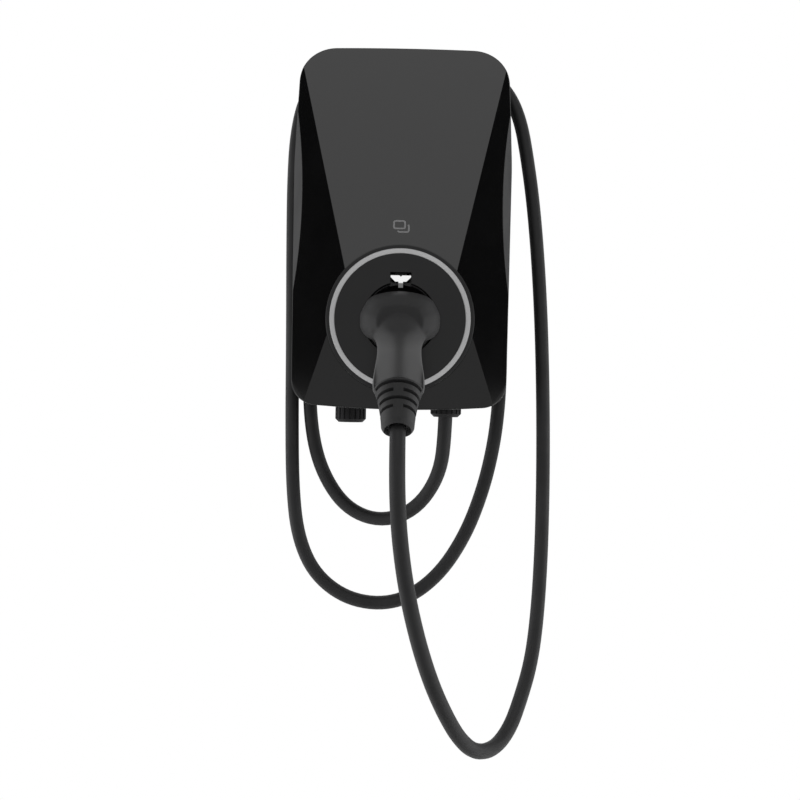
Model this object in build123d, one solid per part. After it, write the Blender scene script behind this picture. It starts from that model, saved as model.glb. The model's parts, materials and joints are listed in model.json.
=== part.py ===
"""Wall-hung charging station for electric cars, with its plug docked and its cable wound round the back.

Every solid is drawn in the wall frame: x to the right, y up and z out of the wall. The last step turns
that frame so that +Z is up and the front faces -Y. The origin is the middle of the wall fixing holes, on
the wall. All lengths are in millimetres and all angles in degrees.
"""
from build123d import *
import os
from math import atan, cos, pi, radians, sin, tan

# Front cover: driving sizes and wall
cover_width = 207.0
cover_height = 341.0
front_depth = 108.0
cover_rear = 30.0
cover_wall = 2.8

# Front cover: outline, with drops measured from its top edge
cover_top_taper = 5.0
cover_bottom_taper = 1.5
cover_waist_drop = 110.5
top_corner_radius = 36.0
bottom_corner_radius = 22.0
waist_blend_radius = 380.0
top_arch_rise = 2.0
bottom_arch_rise = 4.5
fold_radius = 1.6
side_draft = 6.5

# Front cover: where its facets fold, and the hollow of its cheeks
panel_top_inset = 8.0
panel_top_drop = 20.5
panel_edge_lift = 5.5
panel_foot_inset = 15.5
panel_foot_rise = 44.0
panel_foot_setback = 3.0
front_fold_inset = 0.5
front_fold_drop = 18.0
scallop_radius = 800.0
scallop_run = 195.0
scallop_drop = 105.0
scallop_bite = 2.9
scallop_lift = 12.0

# Screws and their holes
screw_radius = 1.5
screw_head_radius = 3.0
screw_head_height = 1.95
thread_gap = 0.05
hole_clearance = 0.3
overcut = 1.0
cover_boss_radius = 4.0
cover_screw_length = 10.0
cover_screw_top_inset, cover_screw_inset = 23.0, 17.0
cover_screw_top_drop, cover_screw_middle_drop, cover_screw_rise = 42.5, 150.5, 32.5
hub_boss_height = 6.0
hub_screw_length = 10.5
hub_screw_corner_inset, hub_screw_inset = 12.0, 16.0
hub_screw_middle_rise, hub_screw_rise = 113.0, 16.0

# Back plate, its shelf and gasket
plate_thickness = 3.0
plate_gap = 0.4
shelf_thickness = 3.0
shelf_rise = 10.5
shelf_setback = 16.0
gusset_x = 12.0
gusset_height = 20.0
gusset_setback = 12.0
gusset_thickness = 2.5
gasket_width = 2.4
gasket_height = 2.4
gasket_gap = 0.2

# Cable hub and wall bracket
hub_side_inset = 27.5
hub_top_inset = 30.5
hub_bottom_inset = 12.5
hub_wall = 3.0
hub_flat_top = 1.0
hub_lower_radius = 14.0
bar_height = 8.0
bar_front = 12.0
hook_drop = 40.0
hook_gap = 0.3
hook_lip = 12.0
hook_width = 18.0
hook_side_inset = 10.0
lock_depth = 7.4
lock_screw_radius = 2.2
lock_screw_spare = 3.0
driver_hole_radius = 4.0
lug_half_width = 12.0
bracket_side_inset = 16.0
bracket_top_inset = 40.0
bracket_thickness = 2.5
bracket_corner_radius = 6.0
bracket_window_inset = 32.0
bracket_window_share = 0.25
bracket_hole_side_inset = 15.0
bracket_hole_top_inset = 20.0
bracket_hole_radius = 3.25

# Holster in the lower front
holster_rise = 78.5
bezel_radius = 64.5
bezel_proud = 2.0
bezel_face = 3.6
bezel_skirt = 3.0
rim_chamfer = 0.8
mouth_radius = 31.0
mouth_chamfer = 1.2
pocket_clearance = 0.3
pocket_depth = 17.0
pocket_floor_thickness = 3.0
bezel_screw_length = 8.0
bezel_screw_gap = 1.0
cup_radius = 30.6
cup_wall = 2.4
cup_depth = 52.0
cup_flange_radius = 44.0
cup_flange_thickness = 3.0
seat_clearance = 0.2
drain_radius = 2.5
holster_screw_length = 5.5

# Light ring
light_ring_radius = 59.0
light_ring_band = 4.4
light_ring_depth = 2.0
light_ring_proud = 0.2
light_ring_gap = 0.1
light_ring_edge = 0.5
light_port_count = 24
light_port_radius = 1.3
light_board_inner = 55.6
light_board_setback = 7.2
light_board_gap = 0.3
light_source_size = 2.6
light_source_height = 1.2
post_radius = 2.0

# Catch above the plug, measured up from the middle of the holster
notch_width = 18.4
notch_top = 40.5
catch_head_width = 17.6
catch_head_foot = 9.6
catch_head_height = 5.4
catch_head_bottom = 32.4
catch_lip = 1.6
catch_dip = 1.2
catch_stem_width = 4.0
catch_stem_bottom = 27.2
catch_thickness = 4.0
catch_setback = 1.4
catch_tail_top = 44.5
catch_tail_half_width = 5.0
catch_guide_gap = 0.3
guide_thickness = 1.6
guide_bottom = 41.0
guide_setback = 9.8
ledge_up = 54.0
spring_radius = 1.5
spring_wire = 0.6
spring_turns = 6

# Charging plug
nose_radius = 30.2
nose_flat = 19.0
nose_length = 46.0
nose_chamfer = 1.5
contact_radius = 3.0
contact_gap = 1.0
contact_bore = 1.9
contact_depth = 32.0
contact_recess = 6.0
contact_places = [
    (-7.5, 10.0), (7.5, 10.0),
    (-15.5, -2.0), (0.0, -4.0), (15.5, -2.0),
    (-8.0, -16.0), (8.0, -16.0),
]
collar_gap = 0.3
collar_radius = 34.5
collar_top = 24.0
collar_shoulder_x = 27.0
collar_shoulder_up = 18.0
collar_waist_up = 4.0
collar_bottom = -19.0
collar_corner_radius = 15.0
collar_blend_radius = 14.0
# Swell of the collar: out from its back, share of its width, share of its height, shift up
collar_swell = [
    (0.0, 1.0, 1.0, 0.0),
    (6.0, 0.985, 0.97, -0.3),
    (16.0, 0.82, 0.82, -1.5),
    (24.0, 0.56, 0.58, -4.0),
]
# Stations of the handle: up from the holster, out from the bezel, lean outward from straight down, width, thickness
handle_stations = [
    (0.0, 4.0, 66.0, 58.0, 34.0),
    (-14.0, 14.0, 44.0, 46.0, 37.0),
    (-28.0, 24.5, 32.0, 37.0, 37.0),
    (-42.0, 32.5, 28.0, 40.5, 36.5),
    (-56.0, 39.5, 27.0, 41.5, 35.0),
]
# Stations of the bend relief: along its axis, width, thickness
boot_stations = [(0.0, 40.0, 34.0), (22.0, 30.5, 29.0), (46.0, 26.5, 26.5)]
boot_end_round = 6.5
boot_core_share = 0.72
boot_slot_count = 4
boot_slot = 3.4
boot_slot_pitch = 8.2
boot_slot_start = 1.5
boot_spine = 8.0
boot_socket = 15.0
boot_exit_run = 18.0

# Glands in the shelf
gland_x = 43.5
gland_depth_share = 0.4103
gland_bore = 6.75
gland_thread_radius = 10.0
gland_thread_above = 13.0
gland_thread_below = 6.0
gland_seal_radius = 8.6
gland_flat_radius = 13.0
gland_flange_height = 3.0
gland_clearance = 0.25
gland_slot_clearance = 0.6
locknut_height = 4.5
gland_nut_radius = 14.0
gland_dome = 3.0
nut_gap = 0.2
outlet_nut_height = 10.5
inlet_nut_height = 16.8
nut_groove = 1.4
nut_groove_depth = 0.8
nut_groove_count = 18

# Main board and what it carries
board_thickness = 1.6
board_side_inset = 28.0
board_top_inset = 70.5
board_bottom_rise = 62.0
board_corner_radius = 4.0
board_post_height = 8.0
board_post_radius = 3.5
board_screw_length = 7.0
board_screw_inset = 7.0
relay_width, relay_height, relay_depth = 22.0, 16.0, 17.0
relay_chamfer = 1.0
relay_share, relay_rise = 0.30, 36.0
relay_pitch_x, relay_pitch_up = 24.0, 20.0
sensor_rise = 8.0
sensor_radius, sensor_bore, sensor_thickness, sensor_foot = 12.0, 6.5, 11.0, 1.5
supply_share, supply_rise = -0.267, 34.0
supply_width, supply_height, supply_depth = 36.0, 28.0, 20.0
capacitor_rise = 62.0
capacitor_radius, capacitor_height, capacitor_edge = 5.0, 14.0, 0.8
capacitor_pitch, capacitor_count = 12.5, 3
radio_drop = 40.0
radio_width, radio_height, radio_depth = 18.0, 26.0, 3.2
radio_strip, radio_margin, radio_aerial = 0.8, 1.2, 7.0

# Card reader board, close behind the panel
reader_rise = 94.0
reader_gap = 6.0
reader_width, reader_height, reader_thickness = 52.0, 34.0, 1.2
reader_post_inset = 5.0

# Terminals and wires
terminal_poles = 5
terminal_pitch = 7.6
terminal_inset, terminal_rise = 36.0, 44.0
terminal_height, terminal_depth, terminal_step = 26.0, 22.0, 15.0
terminal_funnel, terminal_funnel_depth, terminal_funnel_length = 2.6, 9.0, 8.5
terminal_well, terminal_well_floor, terminal_well_up = 2.4, 12.5, 6.5
terminal_wire_end = 6.5
wire_radius = 1.7
wire_lead = 8.0
wire_bend = 6.0
core_ring = 4.0
core_turn = 90.0

# Cable and its route from under the outlet gland to the plug (x, up, out of the wall), for a cover, a housing
# and a plug of the sizes that it was laid round
cable_diameter = 13.0
cable_gap = 0.25
cable_inside = 10.0
cable_drop = 30.0
arc_share = 0.45
route_cover_width, route_cover_height, route_boot_depth = 207.0, 341.0, 149.5
cable_route = [
    (39.5, -231, 56), (18, -265, 43), (-15, -278, 32),
    (-48, -267, 23), (-71, -236, 18), (-83, -198, 16), (-87, -145, 16), (-88, -60, 16),
    (-87.5, 25, 16), (-85, 75, 16), (-75, 112, 16), (-56, 137, 16), (-28, 150, 16), (8, 152, 16),
    (42, 146.5, 16), (66, 131, 16), (82, 106, 16), (89, 72, 16), (92.5, 20, 16), (96, -60, 16),
    (98, -125, 16), (96.5, -172, 16), (91.5, -210, 18), (82, -249, 22), (66.5, -290, 25), (43, -327, 27),
    (13, -351, 27), (-18, -358, 25), (-51, -351, 23), (-79, -329, 20), (-94.5, -295, 18), (-100.5, -251, 16),
    (-102.5, -190, 16), (-103.5, -100, 16), (-105, -15, 16), (-105.5, 50, 16), (-103.5, 95, 16), (-95.5, 130, 16),
    (-76, 153.5, 16), (-47, 165, 16), (-8, 167.5, 16), (30, 167, 16), (61, 163, 16), (85, 151.5, 16),
    (102.5, 133, 16), (113, 108, 16), (119.5, 74, 17), (126, 31, 18), (131.5, -25, 20), (135.5, -88, 23),
    (138, -162, 27), (138.5, -237, 33), (137, -305, 40), (133, -361, 49), (126.5, -401, 60), (115, -432.5, 73),
    (104.5, -452.5, 87), (89.5, -464, 104), (71.5, -460.5, 123), (56.5, -443.5, 139), (43.5, -419.5, 150),
    (30.5, -389, 162), (19, -353, 170), (9.5, -313, 176.5), (3.5, -274, 181), (0.8, -240, 182.5),
]

# Places that follow from the sizes above: cover and holster
half_width = cover_width / 2
cover_top = cover_height / 2
cover_bottom = -cover_height / 2
cover_top_width = cover_width - 2 * cover_top_taper
cover_bottom_width = cover_width - 2 * cover_bottom_taper
cover_waist_up = cover_top - cover_waist_drop
reach = 4 * cover_height
holster_up = cover_bottom + holster_rise
panel_edge = cover_rear + panel_edge_lift
panel_foot_up = holster_up + panel_foot_rise
panel_foot = front_depth - panel_foot_setback
panel_slope = (panel_foot - panel_edge) / (cover_top - panel_foot_up)
panel_top_up = cover_top - panel_top_drop
panel_fold_top = (half_width - panel_top_inset, panel_top_up, panel_edge + panel_slope * panel_top_drop)
panel_fold_bottom = (bezel_radius - panel_foot_inset, panel_foot_up, panel_foot)
front_fold = (bezel_radius - front_fold_inset, holster_up - front_fold_drop, front_depth)
scallop_slope = (front_depth - cover_rear) / scallop_run
scallop_up = cover_top - scallop_drop
scallop_start = cover_rear + scallop_lift
bezel_front = front_depth + bezel_proud
pocket_floor = bezel_front - pocket_depth
pocket_back = pocket_floor - pocket_floor_thickness
light_board_rear = bezel_front - light_board_setback
catch_front = bezel_front - catch_setback
guide_rear = bezel_front - guide_setback
nose_tip = bezel_front - nose_length
collar_back = bezel_front + collar_gap
boot_up = holster_up + handle_stations[-1][0]
boot_depth = bezel_front + handle_stations[-1][1]
boot_lean = handle_stations[-1][2]
boot_length = boot_stations[-1][0]
bezel_screw_ring = cup_flange_radius + screw_head_radius + bezel_screw_gap
holster_screw_ring = (cup_radius + cup_wall + cup_flange_radius) / 2

# Places that follow from the sizes above: back plate, hub and bracket
plate_rear = cover_rear
plate_front = plate_rear + plate_thickness
shelf_up = cover_bottom + shelf_rise
shelf_front = front_depth - shelf_setback
gusset_reach = shelf_front - gusset_setback
hub_half_width = half_width - hub_side_inset
hub_top = cover_top - hub_top_inset
hub_bottom = cover_bottom + hub_bottom_inset
hub_corner_radius = hub_half_width - hub_flat_top
bracket_width = 2 * (hub_half_width - bracket_side_inset)
bracket_height = 2 * (hub_top - bracket_top_inset)
bracket_window_width = bracket_width - 2 * bracket_window_inset
bracket_window_height = bracket_window_share * bracket_height
bracket_hole_spacing_x = bracket_width - 2 * bracket_hole_side_inset
bracket_hole_spacing_up = bracket_height - 2 * bracket_hole_top_inset
hook_up = bracket_height / 2 - hook_drop
hook_outer_x = bracket_width / 2 - hook_side_inset
hook_inner_x = hook_outer_x - hook_width
lock_up = -bracket_height / 2

# Places that follow from the sizes above: boards, terminals and glands
board_rear = plate_front + board_post_height
board_front = board_rear + board_thickness
board_width = cover_width - 2 * board_side_inset
board_top = cover_top - board_top_inset
board_bottom = holster_up + board_bottom_rise
relay_x, relay_up = relay_share * board_width, board_bottom + relay_rise
sensor_up = board_bottom + sensor_rise
supply_x, supply_up = supply_share * board_width, board_bottom + supply_rise
capacitor_up = board_bottom + capacitor_rise
radio_up = board_top - radio_drop
reader_up = holster_up + reader_rise
terminal_x, terminal_up = half_width - terminal_inset, shelf_up + terminal_rise
gland_depth = cover_rear + gland_depth_share * (front_depth - cover_rear)
cable_start = shelf_up + cable_inside


def both_sides(places):
    """Places on the right and the same ones on the left."""
    return places + [(-x, up) for x, up in places]


def ring_places(radius, angles):
    """Points at the given angles on a circle round the middle of the holster."""
    return [(radius * cos(radians(angle)), holster_up + radius * sin(radians(angle))) for angle in angles]


cover_screw_places = both_sides([
    (half_width - cover_screw_top_inset, cover_top - cover_screw_top_drop),
    (half_width - cover_screw_inset, cover_top - cover_screw_middle_drop),
    (half_width - cover_screw_inset, cover_bottom + cover_screw_rise),
])
hub_corner_reach = (hub_corner_radius - hub_screw_corner_inset) * cos(radians(45))
hub_screw_places = both_sides([
    (hub_flat_top + hub_corner_reach, hub_top - hub_corner_radius + hub_corner_reach),
    (hub_half_width - hub_screw_inset, hub_bottom + hub_screw_middle_rise),
    (hub_half_width - hub_screw_inset, hub_bottom + hub_screw_rise),
])
bezel_screw_places = ring_places(bezel_screw_ring, (30, 150, 210, 330))
holster_screw_places = ring_places(holster_screw_ring, (20, 160, 235, 305))
light_board_posts = ring_places(light_ring_radius, (15, 105, 195, 285))
board_screw_x = board_width / 2 - board_screw_inset
board_screw_places = both_sides([
    (board_screw_x, board_bottom + board_screw_inset),
    (board_screw_x, board_top - board_screw_inset),
])
reader_post_x = reader_width / 2 - reader_post_inset
reader_post_up = reader_height / 2 - reader_post_inset
reader_posts = both_sides([(reader_post_x, reader_post_up), (reader_post_x, -reader_post_up)])
reader_depth = panel_edge + panel_slope * (cover_top - reader_up)
panel_plane = Plane(origin=(0, reader_up, reader_depth), x_dir=(1, 0, 0), z_dir=(0, panel_slope, 1))


def slab(x0, x1, up0, up1, depth0, depth1):
    """Box between two corners."""
    size = Box(x1 - x0, up1 - up0, depth1 - depth0, align=(Align.MIN, Align.MIN, Align.MIN))
    return Pos(x0, up0, depth0) * size


def disc(radius, depth0, depth1, x=0.0, up=0.0):
    """Round bar that points out of the wall."""
    bar = Cylinder(radius, depth1 - depth0, align=(Align.CENTER, Align.CENTER, Align.MIN))
    return Pos(x, up, depth0) * bar


def upright(shape):
    """Turn a shape drawn out of the wall so that it points up."""
    return Rot(-90, 0, 0) * shape


def turned_upright(profile):
    """Turned piece on an upright axis, from points of radius and height."""
    face = make_face(Polyline(*[(radius, up, 0) for radius, up in profile], close=True))
    return revolve(face, Axis.Y)


def turned_outward(profile, up=0.0):
    """Turned piece on an axis out of the wall, from points of radius and depth."""
    face = make_face(Polyline(*[(radius, 0, depth) for radius, depth in profile], close=True))
    return Pos(0, up, 0) * revolve(face, Axis.Z)


def screw(x, up, seat, length, points_out=False):
    """Pan-head screw whose head rests on a face at the depth called seat."""
    way = 1 if points_out else -1
    shank = sorted((seat, seat + way * length))
    head = sorted((seat, seat - way * screw_head_height))
    return disc(screw_radius, *shank, x, up) + disc(screw_head_radius, *head, x, up)


def as_group(solids):
    """Separate solids that share one node."""
    return Compound(children=list(solids))


def write(name, shape):
    """Turn a finished piece from the wall frame to +Z up and save it."""
    export_step(Plane.XZ * shape, f"parts/{name}.step")


# Front cover, back plate, hub and bracket


def cover_outline(inset, depth):
    """Outline of the cover at a depth, where its sides lean in by their draft, drawn in by the inset."""
    lean_in = (depth - cover_rear) * tan(radians(side_draft))
    left_bottom = (lean_in - cover_bottom_width / 2, cover_bottom + bottom_arch_rise)
    left_waist = (lean_in - half_width, cover_waist_up)
    left_top = (lean_in - cover_top_width / 2, cover_top - top_arch_rise)
    right_bottom, right_waist, right_top = [(-x, up) for x, up in (left_bottom, left_waist, left_top)]
    border = Line(left_bottom, left_waist)
    border += Line(left_waist, left_top)
    border += ThreePointArc(left_top, (0, cover_top), right_top)
    border += Line(right_top, right_waist)
    border += Line(right_waist, right_bottom)
    border += ThreePointArc(right_bottom, (0, cover_bottom), left_bottom)
    face = make_face(border)
    for corner_up, radius in ((left_bottom[1], bottom_corner_radius), (left_waist[1], waist_blend_radius),
                              (left_top[1], top_corner_radius)):
        corners = [spot for spot in face.vertices() if abs(spot.Y - corner_up) < 0.01]
        face = fillet(corners, radius)
    return offset(face, -inset) if inset else face


def half_space(point_a, point_b, point_c, inset):
    """Everything behind the plane through three points, drawn in by the inset."""
    a, b, c = Vector(*point_a), Vector(*point_b), Vector(*point_c)
    normal = (b - a).cross(c - a).normalized()
    if normal.Z < 0:
        normal = normal * -1
    face = Plane(origin=a - normal * inset, z_dir=normal)
    return face * Box(reach, reach, reach, align=(Align.CENTER, Align.CENTER, Align.MAX))


def mirrored(point):
    """The same point on the other side of the middle."""
    return (-point[0], point[1], point[2])


def scallop(side, inset):
    """Long shallow cylinder that hollows one cheek of the cover."""
    lean = atan(scallop_slope)
    along = Vector(-side * sin(lean), 0, cos(lean))
    outward = Vector(side * cos(lean), 0, sin(lean))
    apex = Vector(side * (half_width - scallop_bite), scallop_up, scallop_start)
    axis = Plane(origin=apex + outward * scallop_radius, z_dir=along)
    return axis * Cylinder(scallop_radius + inset, cover_height)


def cover_walls(inset):
    """Solid within the leaning side walls of the cover, before its front is cut."""
    depths = (cover_rear - inset, front_depth + overcut)
    return loft([Pos(0, 0, depth) * cover_outline(inset, depth) for depth in depths])


def cover_form(inset):
    """Solid form of the cover: its walls, cut by the panel, the side facets, the front and the cheeks."""
    form = cover_walls(inset)
    form &= half_space(panel_fold_top, mirrored(panel_fold_top), panel_fold_bottom, inset)
    form &= half_space(panel_fold_top, panel_fold_bottom, front_fold, inset)
    form &= half_space(*[mirrored(p) for p in (panel_fold_top, panel_fold_bottom, front_fold)], inset)
    form &= slab(-reach, reach, -reach, reach, -reach, front_depth - inset)
    return form - scallop(1, inset) - scallop(-1, inset)


def front_cover():
    """Moulded shell with the round pocket for the bezel, screw bosses and slots for the glands."""
    outer = cover_form(0)
    front_edges = [edge for edge in outer.edges() if edge.bounding_box().max.Z > cover_rear + fold_radius]
    outer = fillet(front_edges, fold_radius)
    cover = outer - cover_form(cover_wall)
    pocket_radius = bezel_radius + pocket_clearance
    seat = disc(pocket_radius + cover_wall, pocket_back, front_depth, up=holster_up)
    for x, up in cover_screw_places:
        seat += disc(cover_boss_radius, plate_front, front_depth, x, up)
    cover += seat & outer
    cover -= disc(pocket_radius, pocket_floor, bezel_front, up=holster_up)
    cover -= disc(cup_radius + cup_wall + pocket_clearance, pocket_back - overcut, bezel_front, up=holster_up)
    for x, up in light_board_posts:
        cover += disc(post_radius, pocket_floor, light_board_rear, x, up)
    for x, up in cover_screw_places:
        cover -= disc(screw_radius + thread_gap, plate_front - overcut, plate_front + cover_screw_length, x, up)
    for x, up in bezel_screw_places + holster_screw_places:
        cover -= disc(screw_radius + thread_gap, pocket_back - overcut, pocket_floor + overcut, x, up)
    for x, up in reader_posts:
        cover += panel_plane * disc(post_radius, -reader_gap, -cover_wall / 2, x, up)
    slot_radius = gland_nut_radius + gland_slot_clearance
    for side in (1, -1):
        slot = slab(-slot_radius, slot_radius, cover_bottom - overcut, shelf_up, cover_rear - overcut, gland_depth)
        slot += upright(disc(slot_radius, cover_bottom - overcut, shelf_up, 0, -gland_depth))
        cover -= Pos(side * gland_x, 0, 0) * slot
    return cover


def back_plate():
    """Plate that closes the back of the cover, with a bottom shelf for the glands and posts for the boards."""
    room = cover_form(cover_wall + plate_gap)
    plate = slab(-half_width, half_width, cover_bottom, cover_top, plate_rear, plate_front)
    shelf = slab(-half_width, half_width, shelf_up - shelf_thickness, shelf_up, plate_rear, shelf_front)
    for x in (-gusset_x, 0, gusset_x):
        corner = [(shelf_up, plate_front), (shelf_up + gusset_height, plate_front), (shelf_up, gusset_reach)]
        web = make_face(Polyline(*[(x, up, depth) for up, depth in corner], close=True))
        shelf += extrude(web, gusset_thickness / 2, both=True)
    plate = (plate + shelf) & room
    for x, up in board_screw_places:
        plate += disc(board_post_radius, plate_front, board_rear, x, up)
        plate -= disc(screw_radius + thread_gap, plate_front, board_rear + overcut, x, up)
    for x, up in hub_screw_places:
        plate += disc(board_post_radius, plate_front, plate_front + hub_boss_height, x, up)
        plate -= disc(screw_radius + thread_gap, plate_rear - overcut, plate_front + hub_boss_height - overcut, x, up)
    for x, up in cover_screw_places:
        plate -= disc(screw_radius + hole_clearance, plate_rear - overcut, plate_front + overcut, x, up)
    for side in (1, -1):
        hole = disc(gland_thread_radius + gland_clearance, shelf_up - 2 * shelf_thickness, shelf_up + overcut)
        plate -= Pos(side * gland_x, 0, gland_depth) * upright(hole)
    return plate


def housing_gasket():
    """Rubber cord between the back plate and the wall of the cover."""
    lowest = shelf_up + gasket_gap
    ring = slab(-half_width, half_width, lowest, cover_top, plate_front, plate_front + gasket_height)
    ring &= cover_form(cover_wall + gasket_gap)
    ring -= cover_walls(cover_wall + gasket_gap + gasket_width)
    for x, up in cover_screw_places:
        ring -= disc(cover_boss_radius + gasket_gap, plate_rear, plate_front + gasket_height + overcut, x, up)
    return ring


def cable_hub():
    """Hollow drum behind the back plate that the cable is wound round and that hangs on the bracket."""
    middle = (hub_top + hub_bottom) / 2
    outline = Pos(0, middle) * Rectangle(2 * hub_half_width, hub_top - hub_bottom)
    rows = outline.vertices().group_by(Axis.Y)
    outline = fillet(rows[-1], hub_corner_radius)
    lower = outline.vertices().filter_by_position(Axis.Y, hub_bottom - overcut, hub_bottom + overcut)
    outline = fillet(lower, hub_lower_radius)
    hub = extrude(outline, plate_rear)
    hub -= Pos(0, 0, -hub_wall) * extrude(offset(outline, -hub_wall), plate_rear)
    inside = hub_half_width - hub_wall / 2
    bar_rear = bracket_thickness + hook_gap
    hub += slab(-inside, inside, hook_up, hook_up + bar_height, bar_rear, bar_front)
    bar_low = lock_up - bar_height
    hub += slab(-inside, inside, bar_low, lock_up, bar_rear, bar_front)
    lock_hole = lock_screw_radius + hole_clearance
    hub -= upright(disc(lock_hole, bar_low - overcut, lock_up + overcut, 0, -lock_depth))
    hub -= upright(disc(driver_hole_radius, hub_bottom - overcut, hub_bottom + 2 * hub_wall, 0, -lock_depth))
    for x, up in hub_screw_places:
        hub -= disc(screw_radius + hole_clearance, plate_rear - 2 * hub_wall, plate_rear + overcut, x, up)
    return hub


def wall_bracket():
    """Pressed steel plate for the wall, with two hooks at the top and a lug for the locking screw."""
    plate = Rectangle(bracket_width, bracket_height)
    plate = fillet(plate.vertices(), bracket_corner_radius)
    plate -= RectangleRounded(bracket_window_width, bracket_window_height, bracket_corner_radius)
    plate -= GridLocations(bracket_hole_spacing_x, bracket_hole_spacing_up, 2, 2) * Circle(bracket_hole_radius)
    bracket = extrude(plate, bracket_thickness)
    hook_front = bar_front + hook_gap + bracket_thickness
    for side in (1, -1):
        x0, x1 = sorted((side * hook_inner_x, side * hook_outer_x))
        bracket += slab(x0, x1, hook_up - bracket_thickness, hook_up, 0, hook_front)
        bracket += slab(x0, x1, hook_up, hook_up + hook_lip, hook_front - bracket_thickness, hook_front)
    lug = slab(-lug_half_width, lug_half_width, lock_up, lock_up + bracket_thickness, 0, bar_front)
    lug -= upright(disc(lock_screw_radius, lock_up - overcut, lock_up + bracket_thickness + overcut, 0, -lock_depth))
    return bracket + lug


def holster_bezel():
    """Round front disk with a recess for the light ring, light ports and the slot of the catch."""
    inner_radius = bezel_radius - bezel_skirt
    band = (light_ring_radius - light_ring_band / 2, light_ring_radius + light_ring_band / 2)
    face_back = bezel_front - bezel_face
    profile = [
        (mouth_radius, face_back), (mouth_radius, bezel_front - mouth_chamfer),
        (mouth_radius + mouth_chamfer, bezel_front),
        (band[0], bezel_front), (band[0], bezel_front - light_ring_depth),
        (band[1], bezel_front - light_ring_depth), (band[1], bezel_front),
        (bezel_radius - rim_chamfer, bezel_front), (bezel_radius, bezel_front - rim_chamfer),
        (bezel_radius, pocket_floor), (inner_radius, pocket_floor), (inner_radius, face_back),
    ]
    bezel = turned_outward(profile, up=holster_up)
    for x, up in bezel_screw_places:
        bezel += disc(board_post_radius, pocket_floor, face_back, x, up)
        bezel -= disc(screw_radius + thread_gap, pocket_floor - overcut, pocket_floor + bezel_screw_length, x, up)
    rib_inner = catch_tail_half_width + catch_guide_gap
    ribs = slab(rib_inner, rib_inner + guide_thickness, guide_bottom, ledge_up, guide_rear, face_back)
    ribs += mirror(ribs, Plane.YZ)
    ribs += slab(-rib_inner, rib_inner, ledge_up - guide_thickness, ledge_up, guide_rear, face_back)
    bezel += Pos(0, holster_up, 0) * ribs
    notch = slab(-notch_width / 2, notch_width / 2, 0, notch_top, face_back - overcut, bezel_front + overcut)
    bezel -= Pos(0, holster_up, 0) * notch
    port = disc(light_port_radius, face_back - overcut, bezel_front)
    ports = Pos(0, holster_up, 0) * PolarLocations(light_ring_radius, light_port_count) * port
    return bezel - ports


def light_ring():
    """Pale light guide with a softly rounded front, let into the bezel."""
    inner_radius = light_ring_radius - light_ring_band / 2 + light_ring_gap
    outer_radius = light_ring_radius + light_ring_band / 2 - light_ring_gap
    rear = bezel_front - light_ring_depth
    front = bezel_front + light_ring_proud
    profile = [
        (inner_radius, rear), (inner_radius, front - light_ring_edge), (inner_radius + light_ring_edge, front),
        (outer_radius - light_ring_edge, front), (outer_radius, front - light_ring_edge), (outer_radius, rear),
    ]
    return turned_outward(profile, up=holster_up)


def light_board():
    """Ring of circuit board behind the light ring."""
    outer_radius = bezel_radius - bezel_skirt - light_board_gap
    profile = [
        (light_board_inner, light_board_rear), (outer_radius, light_board_rear),
        (outer_radius, light_board_rear + board_thickness), (light_board_inner, light_board_rear + board_thickness),
    ]
    board = turned_outward(profile, up=holster_up)
    for x, up in bezel_screw_places:
        board -= disc(board_post_radius + light_board_gap, light_board_rear - overcut, bezel_front, x, up)
    return board


def light_sources():
    """Small light-emitting packages, one under each light port."""
    side = light_source_size
    base = light_board_rear + board_thickness
    places = PolarLocations(light_ring_radius, light_port_count)
    package = Box(side, side, light_source_height, align=(Align.CENTER, Align.CENTER, Align.MIN))
    return as_group(Pos(0, holster_up, base) * spot * package for spot in places)


def plug_holster():
    """Deep cup for the plug, with a flange that is screwed to the back of the pocket floor."""
    rim = bezel_front - bezel_face - seat_clearance
    bottom = bezel_front - cup_depth
    outer_radius = cup_radius + cup_wall
    profile = [
        (0, bottom - cup_wall), (outer_radius, bottom - cup_wall),
        (outer_radius, pocket_back - cup_flange_thickness), (cup_flange_radius, pocket_back - cup_flange_thickness),
        (cup_flange_radius, pocket_back), (outer_radius, pocket_back), (outer_radius, rim),
        (cup_radius, rim), (cup_radius, bottom), (0, bottom),
    ]
    cup = turned_outward(profile, up=holster_up)
    cup -= Pos(0, holster_up, 0) * slab(-notch_width / 2, notch_width / 2, 0, cup_flange_radius,
                                        guide_rear - catch_guide_gap, bezel_front)
    cup -= disc(drain_radius, bottom - 2 * cup_wall, bottom + overcut, 0, holster_up - cup_radius + 2 * drain_radius)
    for x, up in holster_screw_places:
        cup -= disc(screw_radius + hole_clearance, pocket_back - 2 * cup_flange_thickness, pocket_back + overcut, x, up)
    return cup


def plug_catch():
    """Sprung catch: a T-shaped nose in the slot of the bezel and a tail that slides in the guides behind."""
    top = catch_head_bottom + catch_head_height
    stem = catch_stem_width / 2
    half_profile = [
        (0, catch_stem_bottom), (stem, catch_stem_bottom), (stem, catch_head_bottom),
        (catch_head_foot / 2, catch_head_bottom), (catch_head_width / 2, top - catch_lip),
        (catch_head_width / 2, top), (catch_dip, top), (0, top - catch_dip),
    ]
    other_half = [(-x, up) for x, up in reversed(half_profile[1:-1])]
    head = make_face(Polyline(*half_profile, *other_half, close=True))
    rear = catch_front - catch_thickness
    nose = Pos(0, 0, rear) * extrude(head, catch_thickness)
    tail = slab(-catch_tail_half_width, catch_tail_half_width, catch_head_bottom, catch_tail_top,
                guide_rear + catch_guide_gap, rear)
    return Pos(0, holster_up, 0) * (nose + tail)


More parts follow.
